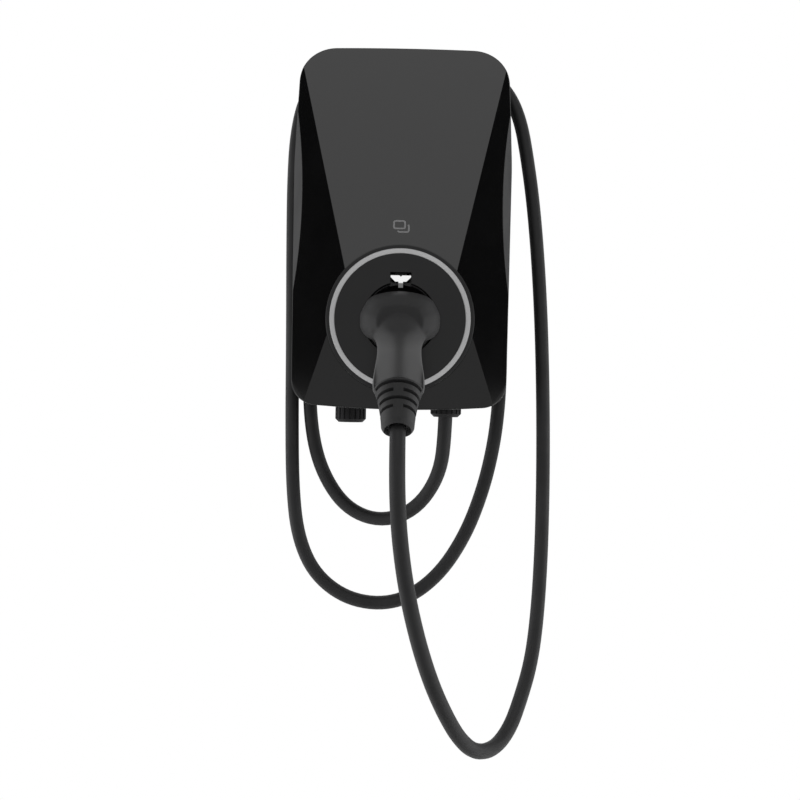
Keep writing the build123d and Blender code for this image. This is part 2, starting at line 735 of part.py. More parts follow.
def catch_spring():
    """Small compression spring between the tail of the catch and the ledge of the bezel."""
    free_height = ledge_up - guide_thickness - catch_tail_top - spring_wire
    coil = Helix(free_height / spring_turns, free_height, spring_radius)
    wire = sweep(Plane(coil ^ 0) * Circle(spring_wire / 2), coil)
    middle = (guide_rear + catch_guide_gap + catch_front - catch_thickness) / 2
    return Pos(0, holster_up + catch_tail_top + spring_wire / 2, middle) * upright(wire)


# Boards and power parts


def main_board():
    """Circuit board on the posts of the back plate."""
    board = slab(-board_width / 2, board_width / 2, board_bottom, board_top, board_rear, board_front)
    board = fillet(board.edges().filter_by(Axis.Z), board_corner_radius)
    for x, up in board_screw_places:
        board -= disc(screw_radius + hole_clearance, board_rear - overcut, board_front + overcut, x, up)
    return board


def power_relays():
    """Four sealed relays in two rows."""
    case = Box(relay_width, relay_height, relay_depth, align=(Align.CENTER, Align.CENTER, Align.MIN))
    case = chamfer(case.faces().sort_by(Axis.Z)[-1].edges(), relay_chamfer)
    places = GridLocations(relay_pitch_x, relay_pitch_up, 2, 2)
    return as_group(Pos(relay_x, relay_up, board_front) * spot * case for spot in places)


def residual_current_sensor():
    """Ring core that the load wires pass through, on a foot soldered to the board."""
    axis_depth = board_front + sensor_foot + sensor_radius
    core = disc(sensor_radius, -sensor_thickness / 2, sensor_thickness / 2)
    core -= disc(sensor_bore, -sensor_thickness, sensor_thickness)
    core = Pos(0, sensor_up, axis_depth) * upright(core)
    foot = slab(-sensor_radius, sensor_radius, sensor_up - sensor_thickness / 2,
                sensor_up + sensor_thickness / 2, board_front, axis_depth - sensor_bore - sensor_foot)
    bore = Pos(0, sensor_up, axis_depth) * upright(disc(sensor_bore, -sensor_radius, sensor_radius))
    return core + (foot - bore)


def power_supply():
    """Potted supply block for the electronics."""
    block = Box(supply_width, supply_height, supply_depth, align=(Align.CENTER, Align.CENTER, Align.MIN))
    block = fillet(block.edges().filter_by(Axis.Z), relay_chamfer)
    return Pos(supply_x, supply_up, board_front) * block


def capacitors():
    """Row of upright electrolytic capacitors."""
    can = disc(capacitor_radius, 0, capacitor_height)
    can = fillet(can.edges().sort_by(Axis.Z)[-1], capacitor_edge)
    places = GridLocations(capacitor_pitch, 0, capacitor_count, 1)
    return as_group(Pos(supply_x, capacitor_up, board_front) * spot * can for spot in places)


def radio_module():
    """Shielded radio module with its bare aerial strip."""
    strip = slab(0, radio_width, 0, radio_height, 0, radio_strip)
    can = slab(radio_margin, radio_width - radio_margin, radio_margin, radio_height - radio_aerial,
               radio_strip, radio_depth)
    return Pos(-radio_width / 2, radio_up, board_front) * (strip + can)


def reader_board():
    """Aerial board of the card reader, parallel to the leaning panel and close behind it."""
    board = Rectangle(reader_width, reader_height)
    board = fillet(board.vertices(), board_corner_radius)
    return panel_plane * Pos(0, 0, -reader_gap - reader_thickness) * extrude(board, reader_thickness)


def terminal_block(side):
    """Row of screw terminals on the back plate, with a wire funnel and a screw well for each pole."""
    width = terminal_poles * terminal_pitch
    block = slab(-width / 2, width / 2, 0, terminal_height, 0, terminal_depth)
    block -= slab(-width, width, terminal_height / 2, 2 * terminal_height, terminal_step, 2 * terminal_depth)
    for pole in GridLocations(terminal_pitch, 0, terminal_poles, 1):
        funnel = pole * upright(disc(terminal_funnel, -overcut, terminal_funnel_length, 0, -terminal_funnel_depth))
        well = pole * disc(terminal_well, terminal_well_floor, terminal_depth + overcut, 0, terminal_well_up)
        block -= funnel + well
    return Pos(side * terminal_x, terminal_up, plate_front) * block


def wire_places():
    """Ring of wire centres in the cable and row of poles in the output terminals."""
    starts = [spot.position for spot in PolarLocations(core_ring, terminal_poles, start_angle=core_turn)]
    ends = [spot.position.X for spot in GridLocations(terminal_pitch, 0, terminal_poles, 1)]
    starts.sort(key=lambda spot: spot.X)
    return zip(starts, ends)


def output_wires():
    """Insulated conductors from the end of the cable jacket up into the output terminals."""
    wires = []
    pole_depth = plate_front + terminal_funnel_depth
    for start, pole in wire_places():
        x, depth = gland_x + start.X, gland_depth + start.Y
        pole_x = terminal_x + pole
        stops = [
            (x, cable_start, depth), (x, cable_start + wire_lead, depth),
            (pole_x, terminal_up - wire_lead, pole_depth), (pole_x, terminal_up + terminal_wire_end, pole_depth),
        ]
        path = FilletPolyline(*stops, radius=wire_bend)
        wires.append(sweep(Plane(path ^ 0) * Circle(wire_radius), path))
    return as_group(wires)


# Glands


def hexagon(across_flats, up0, up1):
    """Upright hexagonal bar."""
    outline = RegularPolygon(across_flats / 2, 6, major_radius=False)
    return upright(Pos(0, 0, up0) * extrude(outline, up1 - up0))


def gland_body(side):
    """Threaded body through the shelf, with a hexagonal flange under it and a seat for the seal."""
    under_shelf = shelf_up - shelf_thickness
    flange_low = under_shelf - gland_flange_height
    body = hexagon(2 * gland_flat_radius, flange_low, under_shelf)
    body += upright(disc(gland_thread_radius, flange_low, shelf_up + gland_thread_above))
    body += upright(disc(gland_thread_radius, flange_low - gland_thread_below, flange_low))
    body -= upright(disc(gland_bore, flange_low - 2 * gland_thread_below, shelf_up + 2 * gland_thread_above))
    body -= upright(disc(gland_seal_radius + gland_clearance, flange_low - 2 * gland_thread_below,
                         flange_low + gland_clearance))
    return Pos(side * gland_x, 0, gland_depth) * body


def gland_locknut(side):
    """Flat hexagonal nut on top of the shelf."""
    nut = hexagon(2 * gland_flat_radius, shelf_up, shelf_up + locknut_height)
    nut -= upright(disc(gland_thread_radius + gland_clearance, shelf_up - overcut, shelf_up + 2 * locknut_height))
    return Pos(side * gland_x, 0, gland_depth) * nut


def gland_seal(side):
    """Rubber sleeve squeezed round the cable by the domed nut."""
    top = shelf_up - shelf_thickness - gland_flange_height
    sleeve = disc(gland_seal_radius, top - gland_thread_below, top)
    sleeve -= disc(gland_bore, top - 2 * gland_thread_below, top + overcut)
    return Pos(side * gland_x, 0, gland_depth) * upright(sleeve)


def gland_nut(side, height):
    """Domed nut with a ribbed grip, open at the bottom for the cable."""
    top = shelf_up - shelf_thickness - gland_flange_height - nut_gap
    thread = gland_thread_radius + gland_clearance
    floor = top - gland_thread_below
    profile = [
        (thread, top), (gland_nut_radius, top), (gland_nut_radius, top - height + gland_dome),
        (gland_nut_radius - gland_dome, top - height), (gland_bore, top - height), (gland_bore, floor),
        (thread, floor),
    ]
    nut = turned_upright(profile)
    rib = slab(-nut_groove / 2, nut_groove / 2, top - height + gland_dome, top + overcut,
               gland_nut_radius - nut_groove_depth, gland_nut_radius + overcut)
    for turn in range(nut_groove_count):
        nut -= Rot(0, turn * 360 / nut_groove_count, 0) * rib
    return Pos(side * gland_x, 0, gland_depth) * nut


def inlet_blank():
    """Solid rubber stopper in the unused inlet gland."""
    top = shelf_up - shelf_thickness - gland_flange_height
    low = top - nut_gap - inlet_nut_height
    stopper = upright(disc(gland_bore - gland_clearance, low + nut_gap, top))
    return Pos(-gland_x, 0, gland_depth) * stopper


# Charging plug


def plug_insert():
    """Nose of the plug: a round bar with a flat top and seven contact wells."""
    below_flat = Pos(0, nose_flat - 2 * nose_radius) * Rectangle(4 * nose_radius, 4 * nose_radius)
    nose = extrude(Circle(nose_radius) & below_flat, collar_back - nose_tip)
    nose = chamfer(nose.faces().sort_by(Axis.Z)[0].edges(), nose_chamfer)
    for x, up in contact_places:
        nose -= disc(contact_radius + contact_gap, -overcut, contact_depth, x, up)
    return Pos(0, holster_up, nose_tip) * nose


def plug_contacts():
    """Seven contact sleeves in the wells of the nose."""
    sleeve = disc(contact_radius, contact_recess, contact_depth)
    sleeve -= disc(contact_bore, contact_recess - overcut, contact_depth - contact_bore)
    return as_group(Pos(x, holster_up + up, nose_tip) * sleeve for x, up in contact_places)


def handle_section(up, depth, lean, width, thickness):
    """Oval cross-section of the handle, square to its axis."""
    middle = (0, holster_up + up, bezel_front + depth)
    place = Plane(origin=middle, x_dir=(1, 0, 0), z_dir=(0, -cos(radians(lean)), sin(radians(lean))))
    return place * Ellipse(width / 2, thickness / 2)


def plug_body():
    """Swelling collar with rounded shoulders, and the oval handle that leans out and down from it."""
    left = (-collar_shoulder_x, collar_shoulder_up)
    right = (collar_shoulder_x, collar_shoulder_up)
    border = ThreePointArc(left, (0, collar_top), right)
    border += Line(right, (collar_radius, collar_waist_up))
    border += Line((collar_radius, collar_waist_up), (collar_radius, collar_bottom))
    border += Line((collar_radius, collar_bottom), (-collar_radius, collar_bottom))
    border += Line((-collar_radius, collar_bottom), (-collar_radius, collar_waist_up))
    border += Line((-collar_radius, collar_waist_up), left)
    face = make_face(border)
    rows = face.vertices().group_by(Axis.Y)
    face = fillet(rows[0], collar_corner_radius)
    uppers = face.vertices().filter_by_position(Axis.Y, collar_waist_up - 0.1, collar_shoulder_up + 0.1)
    face = fillet(uppers, collar_blend_radius)
    swell = []
    for out, wide, tall, shift in collar_swell:
        swell.append(Pos(0, holster_up + shift, collar_back + out) * scale(face, by=(wide, tall, 1)))
    collar = loft(swell)
    handle = loft([handle_section(*station) for station in handle_stations])
    handle &= slab(-reach, reach, -reach, reach, collar_back, reach)
    return collar + handle


def boot_frame():
    """Frame at the top of the bend relief, with its axis along the cable."""
    return Plane(origin=(0, boot_up, boot_depth), x_dir=(1, 0, 0),
                 z_dir=(0, -cos(radians(boot_lean)), sin(radians(boot_lean))))


def plug_boot():
    """Tapered bend relief with a rounded end, cut by slots that leave ribs joined by spines."""
    sections = [Pos(0, 0, along) * Ellipse(width / 2, depth / 2) for along, width, depth in boot_stations]
    boot = loft(sections)
    boot = fillet(boot.edges().group_by(Axis.Z)[-1], boot_end_round)
    core = loft([scale(section, by=(boot_core_share, boot_core_share, 1)) for section in sections])
    wide = 2 * boot_stations[0][1]
    for number in range(boot_slot_count):
        base = boot_slot_start + number * boot_slot_pitch
        slot = slab(-wide, wide, -wide, wide, base, base + boot_slot)
        spine = slab(-wide, wide, -boot_spine / 2, boot_spine / 2, base - overcut, base + boot_slot + overcut)
        if number % 2:
            spine = Rot(0, 0, 90) * spine
        boot -= slot - core - spine
    boot -= disc(cable_diameter / 2 + cable_gap, boot_length - boot_socket, boot_length + overcut)
    return boot_frame() * boot


def charge_cable():
    """Jacketed cable along its route of straight runs and tangent arcs."""
    wide = cover_width / route_cover_width
    tall = cover_height / route_cover_height
    deep = boot_depth / route_boot_depth
    stops = [Vector(gland_x, cable_start, gland_depth), Vector(gland_x, shelf_up - cable_drop, gland_depth)]
    stops += [Vector(wide * x, tall * up, deep * out) for x, up, out in cable_route]
    boot = boot_frame()
    for along in (boot_length + boot_exit_run, boot_length - boot_socket):
        stops.append(boot.origin + boot.z_dir * along)
    radii = []
    for before, here, after in zip(stops, stops[1:], stops[2:]):
        turn = (here - before).get_angle(after - here)
        run = min((here - before).length, (after - here).length)
        radii.append(arc_share * run / tan(radians(turn / 2)))
    path = FilletPolyline(*stops, radius=radii)
    cable = sweep(Plane(path ^ 0) * Circle(cable_diameter / 2), path)
    section = pi * cable_diameter ** 2 / 4
    print("cable radii", [round(radius) for radius in radii])
    print("cable runs", [round((b - a).length) for a, b in zip(stops, stops[1:])])
    print("cable length", round(path.length), "volume ratio", round(cable.volume / (section * path.length), 4))
    return cable


def screws(places, seat, length, points_out=False):
    """Group of equal screws with their heads on one face."""
    return as_group(screw(x, up, seat, length, points_out=points_out) for x, up in places)


def lock_screw():
    """Screw that locks the hub to the lug of the bracket, driven from below."""
    seat = lock_up - bar_height
    tip = lock_up + bracket_thickness + lock_screw_spare
    shank = disc(lock_screw_radius - hole_clearance / 2, seat, tip)
    head = disc(2 * lock_screw_radius, seat - lock_screw_radius, seat)
    return Pos(0, 0, lock_depth) * upright(shank + head)


os.makedirs("parts", exist_ok=True)
write("wall_bracket", wall_bracket())
write("lock_screw", lock_screw())
write("cable_hub", cable_hub())
write("hub_screws", screws(hub_screw_places, plate_rear - hub_wall, hub_screw_length, points_out=True))
write("back_plate", back_plate())
write("housing_gasket", housing_gasket())
write("main_board", main_board())
write("board_screws", screws(board_screw_places, board_front, board_screw_length))
write("power_relays", power_relays())
write("residual_current_sensor", residual_current_sensor())
write("power_supply", power_supply())
write("capacitors", capacitors())
write("radio_module", radio_module())
write("supply_terminals", terminal_block(-1))
write("output_terminals", terminal_block(1))
write("output_wires", output_wires())
write("inlet_gland_body", gland_body(-1))
write("inlet_gland_locknut", gland_locknut(-1))
write("inlet_gland_seal", gland_seal(-1))
write("inlet_gland_nut", gland_nut(-1, inlet_nut_height))
write("inlet_gland_blank", inlet_blank())
write("outlet_gland_body", gland_body(1))
write("outlet_gland_locknut", gland_locknut(1))
write("outlet_gland_seal", gland_seal(1))
write("outlet_gland_nut", gland_nut(1, outlet_nut_height))
write("front_cover", front_cover())
through_plate = plate_thickness + cover_screw_length
write("cover_screws", screws(cover_screw_places, plate_rear, through_plate, points_out=True))
write("reader_board", reader_board())
write("holster_bezel", holster_bezel())
through_floor = pocket_floor_thickness + bezel_screw_length
write("bezel_screws", screws(bezel_screw_places, pocket_back, through_floor, points_out=True))
write("light_ring", light_ring())
write("light_board", light_board())
write("light_sources", light_sources())
write("plug_holster", plug_holster())
flange_seat = pocket_back - cup_flange_thickness
write("holster_screws", screws(holster_screw_places, flange_seat, holster_screw_length, points_out=True))
write("plug_catch", plug_catch())
write("catch_spring", catch_spring())
write("plug_insert", plug_insert())
write("plug_contacts", plug_contacts())
write("plug_body", plug_body())
write("plug_boot", plug_boot())
write("charge_cable", charge_cable())
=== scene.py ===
"""Looks of a wall-hung car charging station: faceted cover, lit holster, docked plug and wound cable."""
import bmesh
import bpy
import json
import math
import numpy
from mathutils import Matrix, Vector

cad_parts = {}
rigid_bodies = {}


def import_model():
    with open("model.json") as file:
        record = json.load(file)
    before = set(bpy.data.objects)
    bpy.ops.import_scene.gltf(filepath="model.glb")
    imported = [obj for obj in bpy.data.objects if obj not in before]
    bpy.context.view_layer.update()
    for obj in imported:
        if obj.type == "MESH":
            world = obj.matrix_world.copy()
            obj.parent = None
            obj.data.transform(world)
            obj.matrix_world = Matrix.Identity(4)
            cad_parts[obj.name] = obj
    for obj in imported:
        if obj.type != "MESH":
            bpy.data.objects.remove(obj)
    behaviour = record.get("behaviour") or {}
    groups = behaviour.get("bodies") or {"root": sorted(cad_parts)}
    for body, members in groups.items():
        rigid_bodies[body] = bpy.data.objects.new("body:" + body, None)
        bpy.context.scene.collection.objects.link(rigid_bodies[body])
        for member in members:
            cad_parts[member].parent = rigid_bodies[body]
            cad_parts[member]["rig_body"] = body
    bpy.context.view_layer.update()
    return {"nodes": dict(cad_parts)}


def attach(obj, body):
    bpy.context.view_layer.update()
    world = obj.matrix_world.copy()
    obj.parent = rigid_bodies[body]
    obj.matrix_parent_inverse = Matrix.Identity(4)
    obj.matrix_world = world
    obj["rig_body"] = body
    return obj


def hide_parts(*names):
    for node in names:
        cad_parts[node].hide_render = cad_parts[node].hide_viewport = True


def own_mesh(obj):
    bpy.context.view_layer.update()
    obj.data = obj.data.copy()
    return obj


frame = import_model()
nodes = frame["nodes"]


# Wall bracket
# A pressed steel plate, powder coated in a fine black texture. Four screws hold it to the wall, and the
# hub of the housing hangs on its two hooks.
def new_finish(name):
    """A fresh node material, its tree and its shader."""
    finish = bpy.data.materials.new(name)
    finish.use_nodes = True
    return finish, finish.node_tree, finish.node_tree.nodes["Principled BSDF"]


def mottle(tree, size, detail=2.0, stretch=(1.0, 1.0, 1.0)):
    """Noise in the frame of the object, with spots of about the given size in metres."""
    place = tree.nodes.new("ShaderNodeTexCoord")
    mapping = tree.nodes.new("ShaderNodeMapping")
    mapping.inputs["Scale"].default_value = [share / size for share in stretch]
    noise = tree.nodes.new("ShaderNodeTexNoise")
    noise.inputs["Scale"].default_value = 1.0
    noise.inputs["Detail"].default_value = detail
    tree.links.new(place.outputs["Object"], mapping.inputs["Vector"])
    tree.links.new(mapping.outputs["Vector"], noise.inputs["Vector"])
    return noise.outputs["Fac"]


def vary(tree, pattern, low, high, socket):
    """Spread a pattern over a range of values on a shader's socket."""
    spread = tree.nodes.new("ShaderNodeMapRange")
    spread.inputs["From Min"].default_value = 0.3
    spread.inputs["From Max"].default_value = 0.7
    spread.inputs["To Min"].default_value = low
    spread.inputs["To Max"].default_value = high
    tree.links.new(pattern, spread.inputs["Value"])
    tree.links.new(spread.outputs["Result"], socket)


def tint(tree, pattern, dark, light, socket):
    """Run a pattern between two colours."""
    ramp = tree.nodes.new("ShaderNodeValToRGB")
    ramp.color_ramp.elements[0].position = 0.35
    ramp.color_ramp.elements[0].color = (*dark, 1.0)
    ramp.color_ramp.elements[1].position = 0.65
    ramp.color_ramp.elements[1].color = (*light, 1.0)
    tree.links.new(pattern, ramp.inputs["Fac"])
    tree.links.new(ramp.outputs["Color"], socket)


def emboss(tree, pattern, shader, height, strength):
    """Raise a pattern as fine relief of the given height in metres."""
    bump = tree.nodes.new("ShaderNodeBump")
    bump.inputs["Distance"].default_value = height
    bump.inputs["Strength"].default_value = strength
    tree.links.new(pattern, bump.inputs["Height"])
    tree.links.new(bump.outputs["Normal"], shader.inputs["Normal"])


def grained(name, colour, roughness, grain, height, strength=0.5, uneven=0.12, patchy=0.03, metal=0.0,
            shine=0.5):
    """Moulded or coated finish: fine grain, with colour and gloss that vary a little over the piece."""
    finish, tree, shader = new_finish(name)
    cloudy = mottle(tree, 0.035)
    dark = [part * (1.0 - uneven) for part in colour]
    light = [part * (1.0 + uneven) for part in colour]
    tint(tree, cloudy, dark, light, shader.inputs["Base Color"])
    gloss = mottle(tree, 0.02, detail=4.0)
    vary(tree, gloss, roughness - patchy, roughness + patchy, shader.inputs["Roughness"])
    emboss(tree, mottle(tree, grain, detail=3.0), shader, height, strength)
    shader.inputs["Metallic"].default_value = metal
    shader.inputs["Specular IOR Level"].default_value = shine
    return finish


def paint(finish, *names):
    """Give carried-over pieces their finish."""
    for name in names:
        for place in nodes[name].material_slots:
            place.material = finish


powder_coat = grained("powder_coat", (0.020, 0.020, 0.021), 0.55, 0.0009, 0.00008)
paint(powder_coat, "wall_bracket")


# Cable hub
# A hollow drum, moulded in one piece with its hanging bars, that the cable is wound round behind the
# housing. Its side wall is shaded smooth round the corners.
def evaluated(mesh, kind, **settings):
    """The mesh as one modifier leaves it."""
    draft = bpy.data.objects.new("draft", mesh)
    bpy.context.scene.collection.objects.link(draft)
    step = draft.modifiers.new("step", kind)
    for name, value in settings.items():
        setattr(step, name, value)
    result = bpy.data.meshes.new_from_object(draft.evaluated_get(bpy.context.evaluated_depsgraph_get()))
    bpy.data.objects.remove(draft)
    return result


def dressed(node, piece_name, finish, crease, reshape=None):
    """A copy of a piece with its triangles joined and its curves shaded smooth, shown in its place."""
    mesh = nodes[node].data.copy()
    mesh.name = piece_name
    if "custom_normal" in mesh.attributes:
        mesh.attributes.remove(mesh.attributes["custom_normal"])
    work = bmesh.new()
    work.from_mesh(mesh)
    bmesh.ops.remove_doubles(work, verts=work.verts, dist=1e-6)
    work.to_mesh(mesh)
    work.free()
    if reshape:
        mesh = reshape(mesh)
    mesh.materials.clear()
    mesh.materials.append(finish)
    mesh.polygons.foreach_set("use_smooth", [True] * len(mesh.polygons))
    mesh.set_sharp_from_angle(angle=math.radians(crease))
    mesh = evaluated(mesh, "WEIGHTED_NORMAL", weight=100, keep_sharp=True)
    mesh.name = piece_name
    return shown(bpy.data.objects.new(piece_name, mesh), node)


def shown(piece, *replaced):
    """Show a finished piece in place of the nodes that it stands for."""
    bpy.context.scene.collection.objects.link(piece)
    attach(piece, nodes[replaced[0]]["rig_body"])
    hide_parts(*replaced)
    return piece


housing_black = grained("housing_black", (0.016, 0.016, 0.017), 0.45, 0.0006, 0.00005)
dressed("cable_hub", "cable_hub_drum", housing_black, 30.0)


# Screws
# Zinc-plated pan-head screws with a six-lobe recess, turned into the plastic from behind. Each stops at its
# own angle.
screw_head_radius = 0.003
screw_head_height = 0.00195
screw_head_taper = 0.82
screw_shank_radius = 0.0015
screw_recess_radius = 0.0015
screw_core_share = 0.76
screw_core_height = 1.3
screw_lobe_share = 0.24
screw_lobe_height = 1.2


def pan_head_screws():
    """Node tree that sets a pan-head screw at each point, its head towards the wall."""
    tree = bpy.data.node_groups.new("pan_head_screws", "GeometryNodeTree")
    tree.interface.new_socket("Geometry", in_out="INPUT", socket_type="NodeSocketGeometry")
    for name in ("Head Radius", "Head Height", "Shank Radius", "Shank Length", "Recess Radius"):
        tree.interface.new_socket(name, in_out="INPUT", socket_type="NodeSocketFloat")
    tree.interface.new_socket("Seed", in_out="INPUT", socket_type="NodeSocketInt")
    tree.interface.new_socket("Finish", in_out="INPUT", socket_type="NodeSocketMaterial")
    tree.interface.new_socket("Geometry", in_out="OUTPUT", socket_type="NodeSocketGeometry")
    given = tree.nodes.new("NodeGroupInput").outputs
    result = tree.nodes.new("NodeGroupOutput")

    def node(kind, **values):
        """A node with its inputs set or linked."""
        made = tree.nodes.new(kind)
        for name, value in values.items():
            label = name.replace("_", " ")
            socket = next(entry for entry in made.inputs if entry.enabled and entry.name == label)
            if isinstance(value, bpy.types.NodeSocket):
                tree.links.new(value, socket)
            else:
                socket.default_value = value
        return made

    def scaled(value, share):
        """A share of a size."""
        made = tree.nodes.new("ShaderNodeMath")
        made.operation = "MULTIPLY"
        tree.links.new(value, made.inputs[0])
        made.inputs[1].default_value = share
        return made.outputs["Value"]

    def raised(mesh, height):
        """A mesh moved along the axis of the screw."""
        lift = node("ShaderNodeCombineXYZ", Z=height)
        moved = node("GeometryNodeTransform", Geometry=mesh, Translation=lift.outputs["Vector"])
        return moved.outputs["Geometry"]

    head_height = given["Head Height"]
    top_radius = scaled(given["Head Radius"], screw_head_taper)
    head = node("GeometryNodeMeshCone", Vertices=40, Radius_Top=top_radius,
                Radius_Bottom=given["Head Radius"], Depth=head_height)
    shank = node("GeometryNodeMeshCylinder", Vertices=24, Radius=given["Shank Radius"],
                 Depth=given["Shank Length"])
    core_radius = scaled(given["Recess Radius"], screw_core_share)
    lobe_radius = scaled(given["Recess Radius"], screw_lobe_share)
    core = node("GeometryNodeMeshCylinder", Vertices=24, Radius=core_radius,
                Depth=scaled(head_height, screw_core_height))
    lobe = node("GeometryNodeMeshCylinder", Vertices=12, Radius=lobe_radius,
                Depth=scaled(head_height, screw_lobe_height))
    ring = node("GeometryNodeMeshCircle", Vertices=6, Radius=core_radius)
    lobes = node("GeometryNodeInstanceOnPoints", Points=ring.outputs["Mesh"], Instance=lobe.outputs["Mesh"])
    lobes = node("GeometryNodeRealizeInstances", Geometry=lobes.outputs["Instances"])
    cut = tree.nodes.new("GeometryNodeMeshBoolean")
    cut.operation = "DIFFERENCE"
    tree.links.new(head.outputs["Mesh"], cut.inputs["Mesh 1"])
    tree.links.new(raised(core.outputs["Mesh"], head_height), cut.inputs["Mesh 2"])
    tree.links.new(raised(lobes.outputs["Geometry"], head_height), cut.inputs["Mesh 2"])
    whole = tree.nodes.new("GeometryNodeJoinGeometry")
    tree.links.new(cut.outputs["Mesh"], whole.inputs["Geometry"])
    shank_middle = scaled(given["Shank Length"], -0.5)
    tree.links.new(raised(shank.outputs["Mesh"], shank_middle), whole.inputs["Geometry"])
    to_wall = (-math.pi / 2, 0.0, 0.0)
    turned = node("GeometryNodeTransform", Geometry=whole.outputs["Geometry"], Rotation=to_wall)
    stop = node("FunctionNodeRandomValue", Max=math.pi, Seed=given["Seed"])
    angle = node("ShaderNodeCombineXYZ", Y=next(entry for entry in stop.outputs if entry.enabled))
    placed = node("GeometryNodeInstanceOnPoints", Points=given["Geometry"],
                  Instance=turned.outputs["Geometry"], Rotation=angle.outputs["Vector"])
    real = node("GeometryNodeRealizeInstances", Geometry=placed.outputs["Instances"])
    finished = node("GeometryNodeSetMaterial", Geometry=real.outputs["Geometry"], Material=given["Finish"])
    tree.links.new(finished.outputs["Geometry"], result.inputs["Geometry"])
    return tree


def screw_set(tree, node, piece_name, places, seat, length, seed):
    """The screws of one group, standing on a face at the given depth, in place of their node."""
    spots = bpy.data.meshes.new(piece_name)
    spots.from_pydata([(side * x, -seat, up) for x, up in places for side in (-1.0, 1.0)], [], [])
    draft = bpy.data.objects.new("draft", spots)
    bpy.context.scene.collection.objects.link(draft)
    step = draft.modifiers.new("screws", "NODES")
    step.node_group = tree
    key = {entry.name: entry.identifier for entry in tree.interface.items_tree if entry.in_out == "INPUT"}
    sizes = {"Head Radius": screw_head_radius, "Head Height": screw_head_height,
             "Shank Radius": screw_shank_radius, "Shank Length": length,
             "Recess Radius": screw_recess_radius, "Seed": seed, "Finish": zinc}
    for name, value in sizes.items():
        step[key[name]] = value
    mesh = bpy.data.meshes.new_from_object(draft.evaluated_get(bpy.context.evaluated_depsgraph_get()))
    bpy.data.objects.remove(draft)
    mesh.name = piece_name
    mesh.polygons.foreach_set("use_smooth", [True] * len(mesh.polygons))
    mesh.set_sharp_from_angle(angle=math.radians(30.0))
    shown(bpy.data.objects.new(piece_name, mesh), node)


zinc = grained("zinc", (0.52, 0.52, 0.50), 0.32, 0.0012, 0.00002, metal=1.0)
screw_tree = pan_head_screws()
hub_places = [(0.04555, 0.10955), (0.060, -0.045), (0.060, -0.142)]
hub_seat = 0.027
cover_places = [(0.0805, 0.128), (0.0865, 0.020), (0.0865, -0.138)]
cover_seat = 0.030
screw_set(screw_tree, "hub_screws", "hub_screw_set", hub_places, hub_seat, length=0.0105, seed=3)
screw_set(screw_tree, "cover_screws", "cover_screw_set", cover_places, cover_seat, length=0.0130, seed=8)
paint(zinc, "lock_screw", "board_screws", "bezel_screws", "holster_screws")


# Back plate and gasket
# The plate closes the cover from behind and carries the glands on a shelf at the bottom. A rubber cord
# seals it to the wall of the cover.
paint(housing_black, "back_plate")
seal_rubber = grained("seal_rubber", (0.012, 0.012, 0.012), 0.7, 0.0004, 0.00004)
paint(seal_rubber, "housing_gasket")


# Boards and power parts
# Green boards on posts of the plate, with sealed relays, a current sensor, a potted supply and a shielded
# radio. They are soldered on and closed in by the cover.
def solder_mask(name):
    """Green lacquer over fine copper tracks."""
    finish, tree, shader = new_finish(name)
    place = tree.nodes.new("ShaderNodeTexCoord")
    tracks = tree.nodes.new("ShaderNodeTexBrick")
    tracks.inputs["Scale"].default_value = 120.0
    tracks.inputs["Color1"].default_value = (0.010, 0.085, 0.035, 1.0)
    tracks.inputs["Color2"].default_value = (0.014, 0.110, 0.045, 1.0)
    tracks.inputs["Mortar"].default_value = (0.030, 0.190, 0.085, 1.0)
    tree.links.new(place.outputs["Object"], tracks.inputs["Vector"])
    tree.links.new(tracks.outputs["Color"], shader.inputs["Base Color"])
    shader.inputs["Roughness"].default_value = 0.35
    emboss(tree, tracks.outputs["Fac"], shader, 0.00003, 0.4)
    return finish


paint(solder_mask("solder_mask"), "main_board", "reader_board", "light_board")
paint(grained("relay_case", (0.020, 0.035, 0.075), 0.4, 0.0005, 0.00003), "power_relays")
paint(grained("sensor_case", (0.030, 0.030, 0.032), 0.45, 0.0005, 0.00003), "residual_current_sensor")
paint(grained("supply_case", (0.020, 0.020, 0.022), 0.5, 0.0006, 0.00004), "power_supply")
paint(grained("sleeved_can", (0.55, 0.56, 0.58), 0.3, 0.001, 0.00002, metal=0.8), "capacitors")
paint(grained("shield_can", (0.60, 0.60, 0.58), 0.35, 0.001, 0.00002, metal=1.0), "radio_module")
terminal_grey = grained("terminal_grey", (0.30, 0.32, 0.34), 0.45, 0.0005, 0.00003)
paint(terminal_grey, "supply_terminals", "output_terminals")
paint(grained("wire_jacket", (0.19, 0.08, 0.03), 0.4, 0.0006, 0.00003), "output_wires")
paint(grained("light_source", (0.72, 0.68, 0.42), 0.3, 0.0006, 0.00002), "light_sources")


# Glands
# Nylon glands screwed through the shelf: a body, a locknut, a rubber seal and a ribbed domed nut. The left
# one is closed by a stopper and the right one lets the charging cable out.
gland_nylon = grained("gland_nylon", (0.011, 0.011, 0.0115), 0.55, 0.0005, 0.00004, shine=0.2)
for side in ("inlet", "outlet"):
    paint(gland_nylon, f"{side}_gland_body", f"{side}_gland_locknut")
    dressed(f"{side}_gland_nut", f"{side}_gland_grip", gland_nylon, 35.0)
    paint(seal_rubber, f"{side}_gland_seal")
paint(seal_rubber, "inlet_gland_blank")


